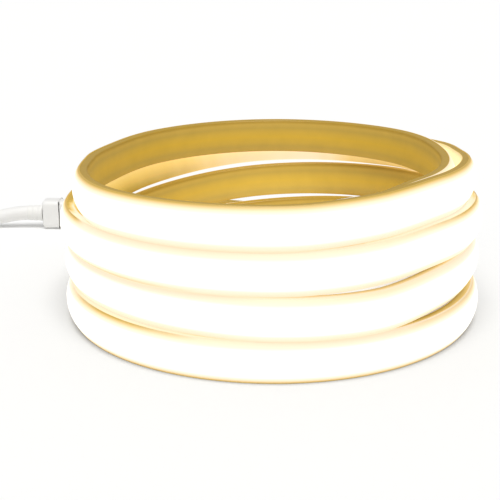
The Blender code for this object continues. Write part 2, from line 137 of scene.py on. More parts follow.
# %% [markdown]
# Now the power lead, a 6 mm flexible cord.  It leaves the connector's gland straight,
# sinks to the floor, and is wound for storage just outside the picture: two and a half
# turns inwards on the floor, a step up, and two and a half turns outwards on top.  Then it
# drops to the plug.  A curve through points is the natural way to make a cord, since its
# own line is the cord's middle and its bevel is the sheath.  A curve's box counts the
# radius of each point, so the cord's radius is given to the points and the bevel is 1.

# %% Route of the lead
CORD_DIAMETER = 6.0 * MM
RING_X, RING_Y = -162.0, 46.6      # middle of the wound part
TURN_MAX, TURN_MIN = 42.0, 27.0    # radii of its outermost and innermost turns
TURN_PITCH = 6.0                   # from one turn to the next
FLOOR_Z = 3.1                      # height of the stretch that lies open on the floor
LOW_Z, HIGH_Z = 3.8, 9.8           # heights of the two layers
INWARD_TURNS, OUTWARD_FROM = 2.5, 2.75
TURNS = 5.25
STEPS_PER_TURN = 16


def smooth_step(share):
    """0 to 1 with a soft start and a soft end."""
    share = min(1.0, max(0.0, share))
    return share * share * (3 - 2 * share)


def ring_point(turn):
    """The lead's middle after so many turns round the ring."""
    if turn < INWARD_TURNS:
        radius = TURN_MAX - TURN_PITCH * turn
    elif turn < OUTWARD_FROM:
        radius = TURN_MIN
    else:
        radius = TURN_MIN + TURN_PITCH * (turn - OUTWARD_FROM)
    height = FLOOR_Z + (LOW_Z - FLOOR_Z) * smooth_step(turn / 0.2)
    height += (HIGH_Z - LOW_Z) * smooth_step((turn - 2.45) / 0.35)
    angle = math.radians(90 + 360 * turn)
    return place(RING_X + radius * math.cos(angle), RING_Y + radius * math.sin(angle), height)


route = [place(*point) for point in [
    (-99.0, MIDDLE_Y, LEAD_Z), (-102.1, MIDDLE_Y, LEAD_Z), (-106.6, MIDDLE_Y, 6.05),
    (-113.1, MIDDLE_Y, 4.8), (-120.1, MIDDLE_Y, 3.6), (-128.1, MIDDLE_Y, 3.15),
    (-138.0, MIDDLE_Y, FLOOR_Z), (-150.0, MIDDLE_Y, FLOOR_Z)]]
count = round(TURNS * STEPS_PER_TURN)
route += [ring_point(TURNS * i / count) for i in range(count + 1)]
route += [place(*point) for point in [
    (-204.0, 38.0, 9.3), (-204.0, 30.0, 8.2), (-204.0, 22.75, 6.9), (-204.0, 14.6, 5.8),
    (-204.0, 5.6, 5.6), (-204.0, -1.4, 6.6), (-204.0, -7.1, 6.8), (-204.0, -9.5, 6.8)]]

# %% The lead as a curve
lead_curve = bpy.data.curves.new("lead", "CURVE")
lead_curve.dimensions = "3D"
lead_curve.resolution_u = 4
lead_curve.bevel_depth = 1.0
lead_curve.bevel_resolution = 5
lead_curve.use_fill_caps = True
spline = lead_curve.splines.new("BEZIER")
spline.bezier_points.add(len(route) - 1)
for knot, point in zip(spline.bezier_points, route):
    knot.co = point
    knot.radius = CORD_DIAMETER / 2
    knot.handle_left_type = knot.handle_right_type = "AUTO"
lead = bpy.data.objects.new("lead", lead_curve)
bpy.context.collection.objects.link(lead)

# %% [markdown]
# These helpers are for modelling by hand in code.  Operators act on what is selected, so
# each step first clears the selection and then picks faces or edges by where they are.

# %% Modelling helpers
def begin(name):
    """Name the primitive that was just added and open it in edit mode, nothing selected."""
    piece = bpy.context.object
    piece.name = piece.data.name = name
    bpy.ops.object.transform_apply(location=True, rotation=True, scale=True)
    bpy.ops.object.mode_set(mode="EDIT")
    bpy.ops.mesh.select_all(action="DESELECT")
    return piece


def box(name, middle, size):
    """Add a box round its middle and begin it."""
    bpy.ops.mesh.primitive_cube_add(size=1, location=middle, scale=size)
    return begin(name)


def extrude(x=0.0, y=0.0, z=0.0):
    """Draw the selected faces out by a step."""
    bpy.ops.mesh.extrude_region_move(TRANSFORM_OT_translate={"value": (x, y, z)})


def round_edges(piece, width, segments, angle):
    """Round the edges that are sharper than an angle in degrees, once the piece is done."""
    rounding = piece.modifiers.new("rounding", "BEVEL")
    rounding.width = width
    rounding.segments = segments
    rounding.limit_method = "ANGLE"
    rounding.angle_limit = math.radians(angle)


def pick_faces(test):
    """Select the faces whose middle and normal pass the test."""
    bpy.ops.mesh.select_mode(type="FACE")
    bpy.ops.mesh.select_all(action="DESELECT")
    data = bpy.context.object.data
    shape = bmesh.from_edit_mesh(data)
    for face in shape.faces:
        face.select_set(bool(test(face.calc_center_median(), face.normal)))
    bmesh.update_edit_mesh(data)


def pick_edges(test):
    """Select the edges whose two ends pass the test."""
    bpy.ops.mesh.select_mode(type="EDGE")
    bpy.ops.mesh.select_all(action="DESELECT")
    data = bpy.context.object.data
    shape = bmesh.from_edit_mesh(data)
    for edge in shape.edges:
        edge.select_set(bool(test(edge.verts[0].co, edge.verts[1].co)))
    bmesh.update_edit_mesh(data)


def along(a, b, axis):
    """True where the edge from a to b runs along an axis: 0 is X, 1 is Y, 2 is Z."""
    return abs((b - a).normalized()[axis]) > 0.99


def done(piece, smooth=30.0):
    """Leave edit mode, apply modifiers and place, shade smooth, and report."""
    if bpy.context.mode == "EDIT_MESH":
        bpy.ops.object.mode_set(mode="OBJECT")
    bpy.ops.object.select_all(action="DESELECT")
    piece.select_set(True)
    bpy.context.view_layer.objects.active = piece
    for modifier in list(piece.modifiers):
        bpy.ops.object.modifier_apply(modifier=modifier.name)
    bpy.ops.object.transform_apply(location=True, rotation=True, scale=True)
    bpy.ops.object.mode_set(mode="EDIT")
    bpy.ops.mesh.select_all(action="SELECT")
    bpy.ops.mesh.normals_make_consistent(inside=False)
    bpy.ops.mesh.select_all(action="DESELECT")
    bpy.ops.object.mode_set(mode="OBJECT")
    bpy.ops.object.shade_smooth_by_angle(angle=math.radians(smooth))
    print(piece.name, len(piece.data.polygons), "faces")
    return piece


def stand_for(piece, slot, *replaced):
    """Let a finished piece ride on the part and stand for its CAD nodes."""
    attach(piece, "root")
    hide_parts(*replaced)


# %% [markdown]
# The strip's path is the winding of the solid model.  A winding is easiest to read round
# the coil: at each angle, how many layers up the strip stands, how far it nests inside or
# outside its neighbour, and by how much it swells from the round.  A smooth curve that
# never overshoots joins the rows, and 96 stations a turn make the coil look round.

# %% Path of the strip
STRIP_WIDTH = 12.0 * MM
HALF_WIDTH = STRIP_WIDTH / 2
LAYER = 12.3 * MM                  # one turn standing on another
NEST = 5.2 * MM                    # one turn lying inside another
COIL_RADIUS = 65.0 * MM
START_ANGLE, LEAVE_ANGLE = -75.0, 1485.0
STATIONS_PER_TURN = 96
WINDING = [
    (-112.5, 2.60, -1.0, -2.2), (-90.0, 2.72, -1.0, -2.2), (-67.5, 2.89, -1.0, -1.9),
    (-45.0, 3.15, -1.0, -2.0), (0.0, 3.19, -1.0, -5.0), (45.0, 3.17, -0.5, -2.7),
    (90.0, 3.14, -0.5, 0.1), (135.0, 3.07, -0.5, -2.1), (157.5, 3.01, -0.5, -3.9),
    (180.0, 3.00, 0.0, -5.9), (202.5, 3.00, 0.0, -2.9), (225.0, 3.00, 0.0, -0.3),
    (270.0, 3.02, 0.0, 0.0), (292.5, 3.13, 0.0, -0.6), (315.0, 3.28, 0.0, -1.5),
    (337.5, 3.27, 0.0, -3.0), (360.0, 3.16, 0.0, -4.7), (382.5, 3.03, 0.0, -2.0),
    (405.0, 2.94, 0.5, -2.3), (450.0, 2.75, 0.5, 0.5), (495.0, 2.31, 0.5, -1.5),
    (517.5, 2.05, 0.5, -1.9), (540.0, 2.00, 0.0, 0.5), (585.0, 2.00, 0.0, -0.4),
    (630.0, 2.01, 0.0, -0.4), (652.5, 2.11, 0.0, 0.0), (675.0, 2.27, 0.0, -0.2),
    (697.5, 2.26, 0.0, -0.7), (720.0, 2.16, 0.0, -1.2), (742.5, 2.03, 0.0, -1.7),
    (765.0, 1.94, 0.0, -1.8), (810.0, 1.70, 0.0, -1.6), (855.0, 1.26, 0.0, -1.6),
    (877.5, 1.03, 0.0, -0.9), (900.0, 1.00, 0.0, -0.3), (922.5, 1.00, 0.0, -1.1),
    (945.0, 1.00, 0.0, -1.9), (967.5, 1.00, 0.0, -1.4), (990.0, 1.00, 0.0, 0.1),
    (1012.5, 1.01, 0.0, 0.4), (1035.0, 1.18, 0.0, -0.2), (1057.5, 1.23, 0.0, -1.0),
    (1080.0, 1.14, 0.0, -1.3), (1102.5, 1.03, -0.2, -1.4), (1125.0, 0.94, -0.5, -1.3),
    (1170.0, 0.62, -0.5, -2.0), (1215.0, 0.23, -0.5, -1.3), (1237.5, 0.03, -0.3, -1.0),
    (1260.0, 0.00, 0.0, -0.5), (1305.0, 0.00, 0.0, 0.0), (1350.0, 0.00, 0.0, -0.4),
    (1395.0, 0.00, 0.0, -0.5), (1440.0, 0.00, 0.0, -0.2), (1485.0, 0.00, 0.5, -0.1),
    (1530.0, 0.00, 1.5, 3.9),
]
TAIL_Y, TAIL_Z = 88.5, 7.0          # the straight run to the connector
STRAIGHT_FROM, STRAIGHT_TO = -42.8, -72.8
TAIL_BOW = 0.60
BEND_STEPS, STRAIGHT_STEPS = 24, 6


def slope_at(row, column):
    """Slope of a winding column at one of its rows, flat where the values turn back."""
    if row in (0, len(WINDING) - 1):
        return 0.0
    slopes = []
    for low in (row - 1, row):
        rise = WINDING[low + 1][column] - WINDING[low][column]
        slopes.append(rise / (WINDING[low + 1][0] - WINDING[low][0]))
    if slopes[0] * slopes[1] <= 0:
        return 0.0
    return 2 * slopes[0] * slopes[1] / (slopes[0] + slopes[1])


def coil_point(angle):
    """The strip's seam line, at half its height, at an angle in degrees."""
    after = next(i for i, row in enumerate(WINDING) if row[0] > angle)
    before = after - 1
    span = WINDING[after][0] - WINDING[before][0]
    share = (angle - WINDING[before][0]) / span
    values = []
    for column in (1, 2, 3):
        start, end = WINDING[before][column], WINDING[after][column]
        leaving, arriving = slope_at(before, column) * span, slope_at(after, column) * span
        a = 2 * start - 2 * end + leaving + arriving
        b = -3 * start + 3 * end - 2 * leaving - arriving
        values.append(((a * share + b) * share + leaving) * share + start)
    layer, nest, swell = values
    radius = COIL_RADIUS + nest * NEST + swell * MM
    turn = math.radians(angle)
    height = layer * LAYER + HALF_WIDTH
    return AXIS + Vector((radius * math.cos(turn), radius * math.sin(turn), height))


stations = round((LEAVE_ANGLE - START_ANGLE) * STATIONS_PER_TURN / 360)
step = (LEAVE_ANGLE - START_ANGLE) / stations
strip_line = [coil_point(START_ANGLE + i * step) for i in range(stations + 1)]
leave = strip_line[-1]
heading = (coil_point(LEAVE_ANGLE + 1) - coil_point(LEAVE_ANGLE - 1)).normalized()
straight = place(STRAIGHT_FROM, TAIL_Y, TAIL_Z)
corner = leave + (straight.y - leave.y) / heading.y * heading
first = leave.lerp(corner, TAIL_BOW)
second = straight.lerp(Vector((corner.x, corner.y, straight.z)), TAIL_BOW)
for i in range(1, BEND_STEPS + 1):
    t = i / BEND_STEPS
    u = 1 - t
    strip_line.append(u ** 3 * leave + 3 * u * u * t * first
                      + 3 * u * t * t * second + t ** 3 * straight)
tail_end = place(STRAIGHT_TO, TAIL_Y, TAIL_Z)
for i in range(1, STRAIGHT_STEPS + 1):
    strip_line.append(straight.lerp(tail_end, i / STRAIGHT_STEPS))
strip_length = sum((b - a).length for a, b in zip(strip_line, strip_line[1:]))
print("strip", len(strip_line), "stations,", round(strip_length, 3), "m")

# %% [markdown]
# The strip itself is extruded and only then wound, so it is modelled in the same order:
# straight along X first, then bent by a Curve modifier.  The path is a curve with its
# twist set to Z up, so the strip stays on its edge all the way round.

# %% Curve that bends the strip
path_curve = bpy.data.curves.new("strip_path", "CURVE")
path_curve.dimensions = "3D"
path_curve.twist_mode = "Z_UP"
path_spline = path_curve.splines.new("POLY")
path_spline.points.add(len(strip_line) - 1)
for knot, point in zip(path_spline.points, strip_line):
    knot.co = (*point, 1.0)
path = bpy.data.objects.new("strip_path", path_curve)
bpy.context.collection.objects.link(path)

# %% [markdown]
# A lit strip also lights itself: one turn's dome shines on the back and the rims of the
# turns next to it, wherever these stand bare.  That light has to follow the strip, so it
# is worked out per point of the straight strip, from how far the turn before and the turn
# after are in or out of line with it and how high above or below it they lie.  Each point
# keeps its share as the attribute shared_light, which the finishes read.

# %% Light from the next turns
HIDDEN = 10                        # stations at the covered end, which lights nothing
RIM = HALF_WIDTH - 0.05 * MM       # from here outwards a point is on a rim
REACH = 3.2                        # gap in mm at which the light has fallen to a half
SOFT = 2.5                         # mm out of line over which a neighbour comes into view
RIM_LIMIT = 4.0                    # mm out of line at which a rim gets nothing any more
RIM_SHARE, FACE_SHARE = 0.85, 0.62
travelled = [0.0]                  # way along the strip at each station
for a, b in zip(strip_line, strip_line[1:]):
    travelled.append(travelled[-1] + (b - a).length)
rings = []                         # each station's distance from the axis and height
for point in strip_line[:stations + 1]:
    out = (point - AXIS) / MM
    rings.append((math.hypot(out.x, out.y), out.z))


def shared_light(x, depth, z):
    """Light, 0 to 1, that a point of the straight strip gets from the next turns."""
    station = bisect.bisect_left(travelled, x)
    if station > stations:
        return 0.0
    radius, middle = rings[station]
    on_rim = abs(z) > RIM
    total = 0.0
    for turns in (-1, 1):
        other = station + turns * STATIONS_PER_TURN
        if HIDDEN <= other <= stations:
            other_radius, other_middle = rings[other]
            inside = radius - depth / MM - other_radius    # how far the neighbour is in
            if depth < 0:              # the dome sees a neighbour that stands further out
                bared = smooth_step((other_radius - radius + SOFT) / SOFT)
            elif on_rim:               # a rim sees one that lies above or below it
                bared = smooth_step((inside + SOFT) / SOFT)
                bared *= smooth_step((RIM_LIMIT - inside) / 2)
            else:                      # the back sees one that stands further in
                bared = smooth_step((inside + 0.3) / SOFT)
            away = max(0.0, abs(middle + z / MM - other_middle) - HALF_WIDTH / MM)
            total += bared / (1 + (away / REACH) ** 2)
    return min(1.0, total * (RIM_SHARE if on_rim else FACE_SHARE))


print("shared light", len(rings), "stations round the coil")

# %% [markdown]
# One function finishes both extrusions.  It cuts the straight bar across, gives it a UV
# map that runs along and across it, stores the shared light and bends it.

# %% Winding a straight strip
STRIP_CUTS = (99, 5)               # 100 lengths first, then each into 6


def wind(piece):
    """Cut a straight strip across, map it along and across, and bend it along the path."""
    for cuts in STRIP_CUTS:
        pick_edges(lambda a, b: along(a, b, 0))
        bpy.ops.mesh.subdivide(number_cuts=cuts)
    bpy.ops.object.mode_set(mode="OBJECT")
    layer = piece.data.uv_layers.active or piece.data.uv_layers.new(name="UVMap")
    for loop in piece.data.loops:
        x, y, z = piece.data.vertices[loop.vertex_index].co
        layer.data[loop.index].uv = (x / strip_length, z / STRIP_WIDTH + 0.5)
    share = piece.data.attributes.new("shared_light", "FLOAT", "POINT")
    for vertex in piece.data.vertices:
        share.data[vertex.index].value = shared_light(*vertex.co)
    bend = piece.modifiers.new("wind", "CURVE")
    bend.object = path
    bend.deform_axis = "POS_X"
    return done(piece, 35)


# %% [markdown]
# The golden base is a flat bar with softly rounded back corners.  In the straight strip
# the side that will face the middle of the coil is +Y.

# %% Golden base
BASE_THICKNESS = 2.3 * MM
base = box("strip_base_golden", (strip_length / 2, BASE_THICKNESS / 2, 0),
           (strip_length, BASE_THICKNESS, STRIP_WIDTH))
pick_edges(lambda a, b: along(a, b, 0) and a.y > BASE_THICKNESS / 2)
bpy.ops.mesh.bevel(offset=0.55 * MM, segments=3)
pick_edges(lambda a, b: along(a, b, 0) and a.y < 0.01 * MM)
bpy.ops.mesh.bevel(offset=0.12 * MM, segments=1)
wind(base)

# %% [markdown]
# The dome is a shallow lens on a short skirt.  It is a slice of a much larger round bar,
# cut off lengthwise where the slice is as wide as the strip.  The skirt is then drawn out
# to the base, so no dark slit shows between the two.

# %% Milky dome
DOME_RISE = 2.0 * MM
DOME_SKIRT = 0.2 * MM
SEAT_GAP = 0.3 * MM
bar_radius = (HALF_WIDTH ** 2 + DOME_RISE ** 2) / (2 * DOME_RISE)
seam_y = -(SEAT_GAP + DOME_SKIRT)
bpy.ops.mesh.primitive_cylinder_add(
    vertices=192, radius=bar_radius, depth=strip_length,
    location=(strip_length / 2, seam_y - DOME_RISE + bar_radius, 0),
    rotation=(0, math.radians(90), 0))
dome = begin("strip_dome_milky")
bpy.ops.mesh.select_all(action="SELECT")
bpy.ops.mesh.bisect(plane_co=(0, seam_y, 0), plane_no=(0, 1, 0), use_fill=True,
                    clear_outer=True, clear_inner=False)
pick_faces(lambda middle, normal: normal.y > 0.99)
extrude(y=-seam_y - 0.04 * MM)
wind(dome)
bpy.data.objects.remove(path, do_unlink=True)

# %% [markdown]
# A soft cap closes the strip's hidden end.  It is a rounded box with a mouth, turned to
# the strip's heading there: its own Y runs along the strip and its X points outwards.

# %% End cap
CAP_LENGTH = 9.0 * MM
CAP_TIP = 1.5 * MM
CAP_DEPTH, CAP_HEIGHT = 6.8 * MM, 14.0 * MM
CAP_WALL, CAP_ROUNDING = 0.7 * MM, 1.3 * MM
start_heading = strip_line[1] - strip_line[0]
cap_turn = math.atan2(start_heading.y, start_heading.x) - math.pi / 2
cap_climb = math.atan2(start_heading.z, math.hypot(start_heading.x, start_heading.y))
cap = box("end_cap_soft", (0.1 * MM, CAP_LENGTH / 2 - CAP_TIP, 0),
          (CAP_DEPTH, CAP_LENGTH, CAP_HEIGHT))
pick_edges(lambda a, b: along(a, b, 1))
bpy.ops.mesh.bevel(offset=CAP_ROUNDING, segments=4)
pick_faces(lambda middle, normal: normal.y < -0.99)
bpy.ops.mesh.bevel(offset=0.6 * MM, segments=3, affect="EDGES")
pick_faces(lambda middle, normal: normal.y > 0.99)
bpy.ops.mesh.inset(thickness=CAP_WALL, depth=0)
extrude(y=CAP_ROUNDING - CAP_LENGTH)
for shift in (1.6 * MM, 3.2 * MM, 4.8 * MM):
    bpy.ops.mesh.select_all(action="SELECT")
    bpy.ops.mesh.bisect(plane_co=(0, shift, 0), plane_no=(0, 1, 0))
bpy.ops.object.mode_set(mode="OBJECT")
cap.rotation_euler = (cap_climb, 0, cap_turn)
cap.location = strip_line[0]
done(cap)
stand_for(cap, "soft_white", "end_cap")

# %% [markdown]
# The connector is one moulding: a socket over the strip's end, a slightly slimmer neck
# and a collar with rounded shoulders.  It grows from the socket's box by extruding the
# end face, and a bevel rounds every edge as the mould does.

# %% Connector
SOCKET_FROM, SOCKET_TO = -59.1, -79.1
NECK_TO, COLLAR_TO = -88.1, -95.1
SOCKET_Y, SOCKET_Z = 8.0, 14.0     # across and up, in mm, of the socket, neck and collar
NECK_Y, NECK_Z = 7.6, 11.2
COLLAR_Y, COLLAR_Z = 8.4, 11.8
SHOULDER_IN, SHOULDER_OUT = 0.6, 0.4
plug_in = box("connector_moulding",
              place((SOCKET_FROM + SOCKET_TO) / 2, MIDDLE_Y, TAIL_Z),
              ((SOCKET_FROM - SOCKET_TO) * MM, SOCKET_Y * MM, SOCKET_Z * MM))
end_middle = place(SOCKET_TO, MIDDLE_Y, TAIL_Z)
pick_faces(lambda middle, normal: normal.x < -0.99)
extrude()
bpy.ops.transform.resize(value=(1, NECK_Y / SOCKET_Y, NECK_Z / SOCKET_Z),
                         center_override=end_middle)
bpy.ops.transform.translate(value=(-SHOULDER_IN * MM, 0, (LEAD_Z - TAIL_Z) * MM))
extrude(x=(NECK_TO - SOCKET_TO + SHOULDER_IN + SHOULDER_OUT) * MM)
extrude(x=-SHOULDER_OUT * MM)
bpy.ops.transform.resize(value=(1, COLLAR_Y / NECK_Y, COLLAR_Z / NECK_Z),
                         center_override=place(NECK_TO, MIDDLE_Y, LEAD_Z))
extrude(x=(COLLAR_TO - NECK_TO) * MM)
pick_edges(lambda a, b: along(a, b, 0) and (b - a).length > 2 * MM)
bpy.ops.mesh.bevel(offset=2.0 * MM, segments=5)
pick_faces(lambda middle, normal: normal.x < -0.99 and middle.x < place(COLLAR_TO + 1, 0, 0).x)
bpy.ops.mesh.bevel(offset=1.3 * MM, segments=4, affect="EDGES")
pick_faces(lambda middle, normal: normal.x > 0.99 and middle.x > place(SOCKET_FROM - 1, 0, 0).x)
bpy.ops.mesh.inset(thickness=0.7 * MM, depth=0)
extrude(x=-13.0 * MM)
bpy.ops.object.mode_set(mode="OBJECT")
round_edges(plug_in, 0.35 * MM, 2, 50)
done(plug_in)
stand_for(plug_in, "hard_white", "power_connector")

# %% [markdown]
# Round pieces with rings, such as the gland and the plug's relief, are cones that are cut
# across and pinched where a ring is to be.  A helper does the pinching.

# %% Rings round a cone
RING_EDGE = 0.35 * MM


def pinch(centre, axis, rings, depth):
    """Cut a round piece across at each ring's four places and draw the middle two in."""
    normal = [0.0, 0.0, 0.0]
    normal[axis] = 1.0
    for low, high in rings:
        for shift in (low, low + RING_EDGE, high - RING_EDGE, high):
            spot = list(centre)
            spot[axis] += shift
            bpy.ops.mesh.select_all(action="SELECT")
            bpy.ops.mesh.bisect(plane_co=spot, plane_no=normal)
        inner = (centre[axis] + low + 0.3 * MM, centre[axis] + high - 0.3 * MM)
        pick_edges(lambda a, b: all(inner[0] < end[axis] < inner[1] for end in (a, b)))
        factors = [depth, depth, depth]
        factors[axis] = 1.0
        bpy.ops.transform.resize(value=factors, center_override=centre)


# %% Gland
RELIEF_LENGTH = 6.4 * MM
relief_x = RELIEF_END_X + RELIEF_LENGTH / MM / 2
bpy.ops.mesh.primitive_cone_add(vertices=40, radius1=3.4 * MM, radius2=3.12 * MM,
                                depth=RELIEF_LENGTH,
                                location=place(relief_x, MIDDLE_Y, LEAD_Z),
                                rotation=(0, math.radians(-90), 0))
gland = begin("gland_ringed")
pinch(place(RELIEF_END_X, MIDDLE_Y, LEAD_Z), 0, [(1.5 * MM, 2.6 * MM), (3.7 * MM, 4.8 * MM)], 0.95)
pick_faces(lambda middle, normal: normal.x < -0.99)
bpy.ops.mesh.bevel(offset=0.3 * MM, segments=3, affect="EDGES")
done(gland)
stand_for(gland, "soft_white", "strain_relief")

# %% [markdown]
# The band that holds the wound lead is a closed strap round its section.  A box without
# its two side faces gives the loop, a bevel rounds its corners, and Solidify makes it
# thick.

# %% Tie round the wound lead
TIE_WIDTH = 8.0 * MM
TIE_THICKNESS = 0.6 * MM
TIE_SLACK = 0.2 * MM
ring_inner = TURN_MIN * MM - CORD_DIAMETER / 2
ring_outer = TURN_MAX * MM + CORD_DIAMETER / 2
inner = math.sqrt(ring_inner ** 2 - (TIE_WIDTH / 2) ** 2) - TIE_SLACK - TIE_THICKNESS
outer = ring_outer + TIE_SLACK + TIE_THICKNESS
tie_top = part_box("cord_tie")[1].z - 0.02 * MM
tie = box("tie_band", ((inner + outer) / 2, 0, tie_top / 2),
          (outer - inner, TIE_WIDTH, tie_top))
pick_edges(lambda a, b: along(a, b, 1))
bpy.ops.mesh.bevel(offset=2.2 * MM, segments=6)
pick_faces(lambda middle, normal: abs(normal.y) > 0.99)
bpy.ops.mesh.delete(type="FACE")
bpy.ops.object.mode_set(mode="OBJECT")
wall = tie.modifiers.new("wall", "SOLIDIFY")
wall.thickness = TIE_THICKNESS
wall.offset = -1.0
round_edges(tie, 0.15 * MM, 2, 60)
tie.rotation_euler = (0, 0, math.radians(-50))
tie.location = place(RING_X, RING_Y, 0)
done(tie)
stand_for(tie, "tie_grey", "cord_tie")

# %% [markdown]
# The plug is the flat two-pin kind: a moulded body that widens from the lead to the face,
# with a hollow for the fingers on its top, a ringed relief, and two pins whose first half
# wears an insulating sleeve.

# %% Plug's relief
PLUG_X = -204.0
PLUG_Z = 6.8
RELIEF_FROM = -7.4
PLUG_RELIEF_LENGTH = 22.0
bpy.ops.mesh.primitive_cone_add(
    vertices=40, radius1=3.3 * MM, radius2=4.75 * MM, depth=PLUG_RELIEF_LENGTH * MM,
    location=place(PLUG_X, RELIEF_FROM - PLUG_RELIEF_LENGTH / 2, PLUG_Z),
    rotation=(math.radians(90), 0, 0))
relief = begin("plug_relief_ringed")
rings = [(-(3.0 + 4.0 * i + 1.5) * MM, -(3.0 + 4.0 * i) * MM) for i in range(5)]
pinch(place(PLUG_X, RELIEF_FROM, PLUG_Z), 1, rings, 0.86)
pick_faces(lambda middle, normal: normal.y > 0.99)
bpy.ops.mesh.bevel(offset=0.3 * MM, segments=3, affect="EDGES")
done(relief)
stand_for(relief, "soft_white", "plug_relief")

# %% Plug's body
body_low, body_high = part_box("plug_body")
body_size = body_high - body_low
body_middle = (body_low + body_high) / 2
body = box("plug_body_moulded", body_middle, body_size)
bpy.ops.mesh.select_all(action="SELECT")
bpy.ops.mesh.bisect(plane_co=(0, body_high.y - body_size.y * 0.55, 0), plane_no=(0, 1, 0))
pick_edges(lambda a, b: min(a.y, b.y) > body_high.y - 0.1 * MM)
bpy.ops.transform.resize(value=(14.0 / 26.0, 1, 0.9), center_override=body_middle)
pick_edges(lambda a, b: along(a, b, 2))
bpy.ops.mesh.bevel(offset=4.0 * MM, segments=6, clamp_overlap=True)
pick_faces(lambda middle, normal: normal.z > 0.9)
bpy.ops.mesh.inset(thickness=3.4 * MM, depth=0)
bpy.ops.mesh.inset(thickness=1.2 * MM, depth=-0.6 * MM)
bpy.ops.object.mode_set(mode="OBJECT")
round_edges(body, 2.2 * MM, 5, 50)
done(body)
stand_for(body, "hard_white", "plug_body")

# %% Pins
SLEEVE_LENGTH = 9.6 * MM
pins = []
for name in ("plug_pin_left", "plug_pin_right"):
    low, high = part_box(name)
    middle = (low + high) / 2
    length = high.y - low.y
    bpy.ops.mesh.primitive_cylinder_add(vertices=32, radius=2.0 * MM, depth=length,
                                        location=middle, rotation=(math.radians(90), 0, 0))
    pin = begin(name + "_sleeved")
    pick_faces(lambda centre, normal: normal.y < -0.99)
    bpy.ops.mesh.bevel(offset=0.9 * MM, segments=4, affect="EDGES")
    pinch(Vector((middle.x, high.y, middle.z)), 1,
          [(-SLEEVE_LENGTH - 1.0 * MM, -SLEEVE_LENGTH)], 0.93)
    done(pin)
    stand_for(pin, "pin_metal", name)
    pins.append(pin)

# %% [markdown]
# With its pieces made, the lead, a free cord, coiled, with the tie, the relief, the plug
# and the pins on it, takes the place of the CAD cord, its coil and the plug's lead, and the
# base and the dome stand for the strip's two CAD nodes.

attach(lead, "root")
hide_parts("power_cord", "cord_coil", "plug_lead")
stand_for(base, "base_gold", "strip_base")
stand_for(dome, "diffuser_milky", "strip_diffuser")

# %% [markdown]
# Materials come next.  Colours are written as the hex values that the eye knows from a
# screen, and one function turns them into the linear values that the shader wants.

# %% Material helpers
def colour(code):
    """A screen colour such as "#D9A93C" as linear red, green, blue and alpha."""
    parts = [int(code[i:i + 2], 16) / 255 for i in (1, 3, 5)]
    return (*[p / 12.92 if p <= 0.04045 else ((p + 0.055) / 1.055) ** 2.4 for p in parts], 1)


def node(material, kind, inputs=None, **settings):
    """Add a node with its settings; inputs are values, or other nodes' outputs to link."""
    tree = material.node_tree
    made = tree.nodes.new(kind)
    for name, value in settings.items():
        setattr(made, name, value)
    for name, value in (inputs or {}).items():
        if isinstance(value, bpy.types.NodeSocket):
            tree.links.new(value, made.inputs[name])
        else:
            made.inputs[name].default_value = value
    return made


def stops(ramp, places):
    """Give a colour ramp its places and colours."""
    elements = ramp.color_ramp.elements
    while len(elements) < len(places):
        elements.new(0.5)
    for element, (where, code) in zip(elements, places):
        element.position = where
        element.color = colour(code)


def finish(name, **sockets):
    """A new material and its shader, with constant values on the shader's own sockets."""
    material = bpy.data.materials.new(name)
    material.use_nodes = True
    shader = material.node_tree.nodes["Principled BSDF"]
    for socket, value in sockets.items():
        title = "IOR" if socket == "ior" else socket.replace("_", " ").title()
        shader.inputs[title].default_value = value
    return material, shader


def paint(material, *pieces):
    """Put a material on pieces in place of what they wear."""
    for piece in pieces:
        piece.data.materials.clear()
        piece.data.materials.append(material)


# %% [markdown]
# The dome is extruded soft PVC with a milky filler, lit from behind by a row of LEDs so
# close that no single one shows.  It is so bright that it burns out to a warm white, and
# only near the seams, where the wall is thickest and light leaks from the base, it dims
# and fades to gold, darkest right at the seam.  That fade is painted into the glow and,
# darker still, into the base colour: painted shade towards the seams.  The pattern follows
# the strip, so it reads the across direction of the piece's own UV map: 0 and 1 are the
# seams, 0.5 is the crown.  Where another turn shines on a seam, the gold is lifted to
# cream.

# %% Milky dome finish
milky, shader = finish("milky_pvc_dome_lit", roughness=0.38, ior=1.5, emission_strength=1.2)
across = node(milky, "ShaderNodeUVMap", uv_map="UVMap")
split = node(milky, "ShaderNodeSeparateXYZ", {"Vector": across.outputs["UV"]})
centred = node(milky, "ShaderNodeMath", {0: split.outputs["Y"], 1: 0.5}, operation="SUBTRACT")
folded = node(milky, "ShaderNodeMath", {0: centred.outputs[0]}, operation="ABSOLUTE")
doubled = node(milky, "ShaderNodeMath", {0: folded.outputs[0], 1: 2.0}, operation="MULTIPLY")
# The glow dims and turns dark gold towards the seams: painted shade.
light = node(milky, "ShaderNodeValToRGB", {"Fac": doubled.outputs[0]})
stops(light, [(0.0, "#FFFAF0"), (0.60, "#E8E6DC"), (0.73, "#C8C6B8"), (0.82, "#CDBA9A"),
              (0.88, "#C4A878"), (0.93, "#B6944C"), (0.97, "#A07E2C"), (1.0, "#8F7010")])
neighbour = node(milky, "ShaderNodeAttribute", attribute_name="shared_light")
edge = node(milky, "ShaderNodeMapRange",
            {"Value": neighbour.outputs["Fac"], "From Min": 0.1, "From Max": 0.5})
lifted = node(milky, "ShaderNodeMix",
              {0: edge.outputs[0], 6: light.outputs["Color"], 7: colour("#CDBFAC")},
              data_type="RGBA", blend_type="LIGHTEN")
# Base colour, darker and golder towards the seams: painted shade at the seams.
dome_tone_and_seam_shade = node(milky, "ShaderNodeValToRGB", {"Fac": doubled.outputs[0]})
stops(dome_tone_and_seam_shade, [(0.0, "#A9A59A"), (0.8, "#A9A08A"), (0.95, "#A08F66"), (1.0, "#94804C")])
milky.node_tree.links.new(lifted.outputs[2], shader.inputs["Emission Color"])
milky.node_tree.links.new(dome_tone_and_seam_shade.outputs["Color"], shader.inputs["Base Color"])
paint(milky, dome)
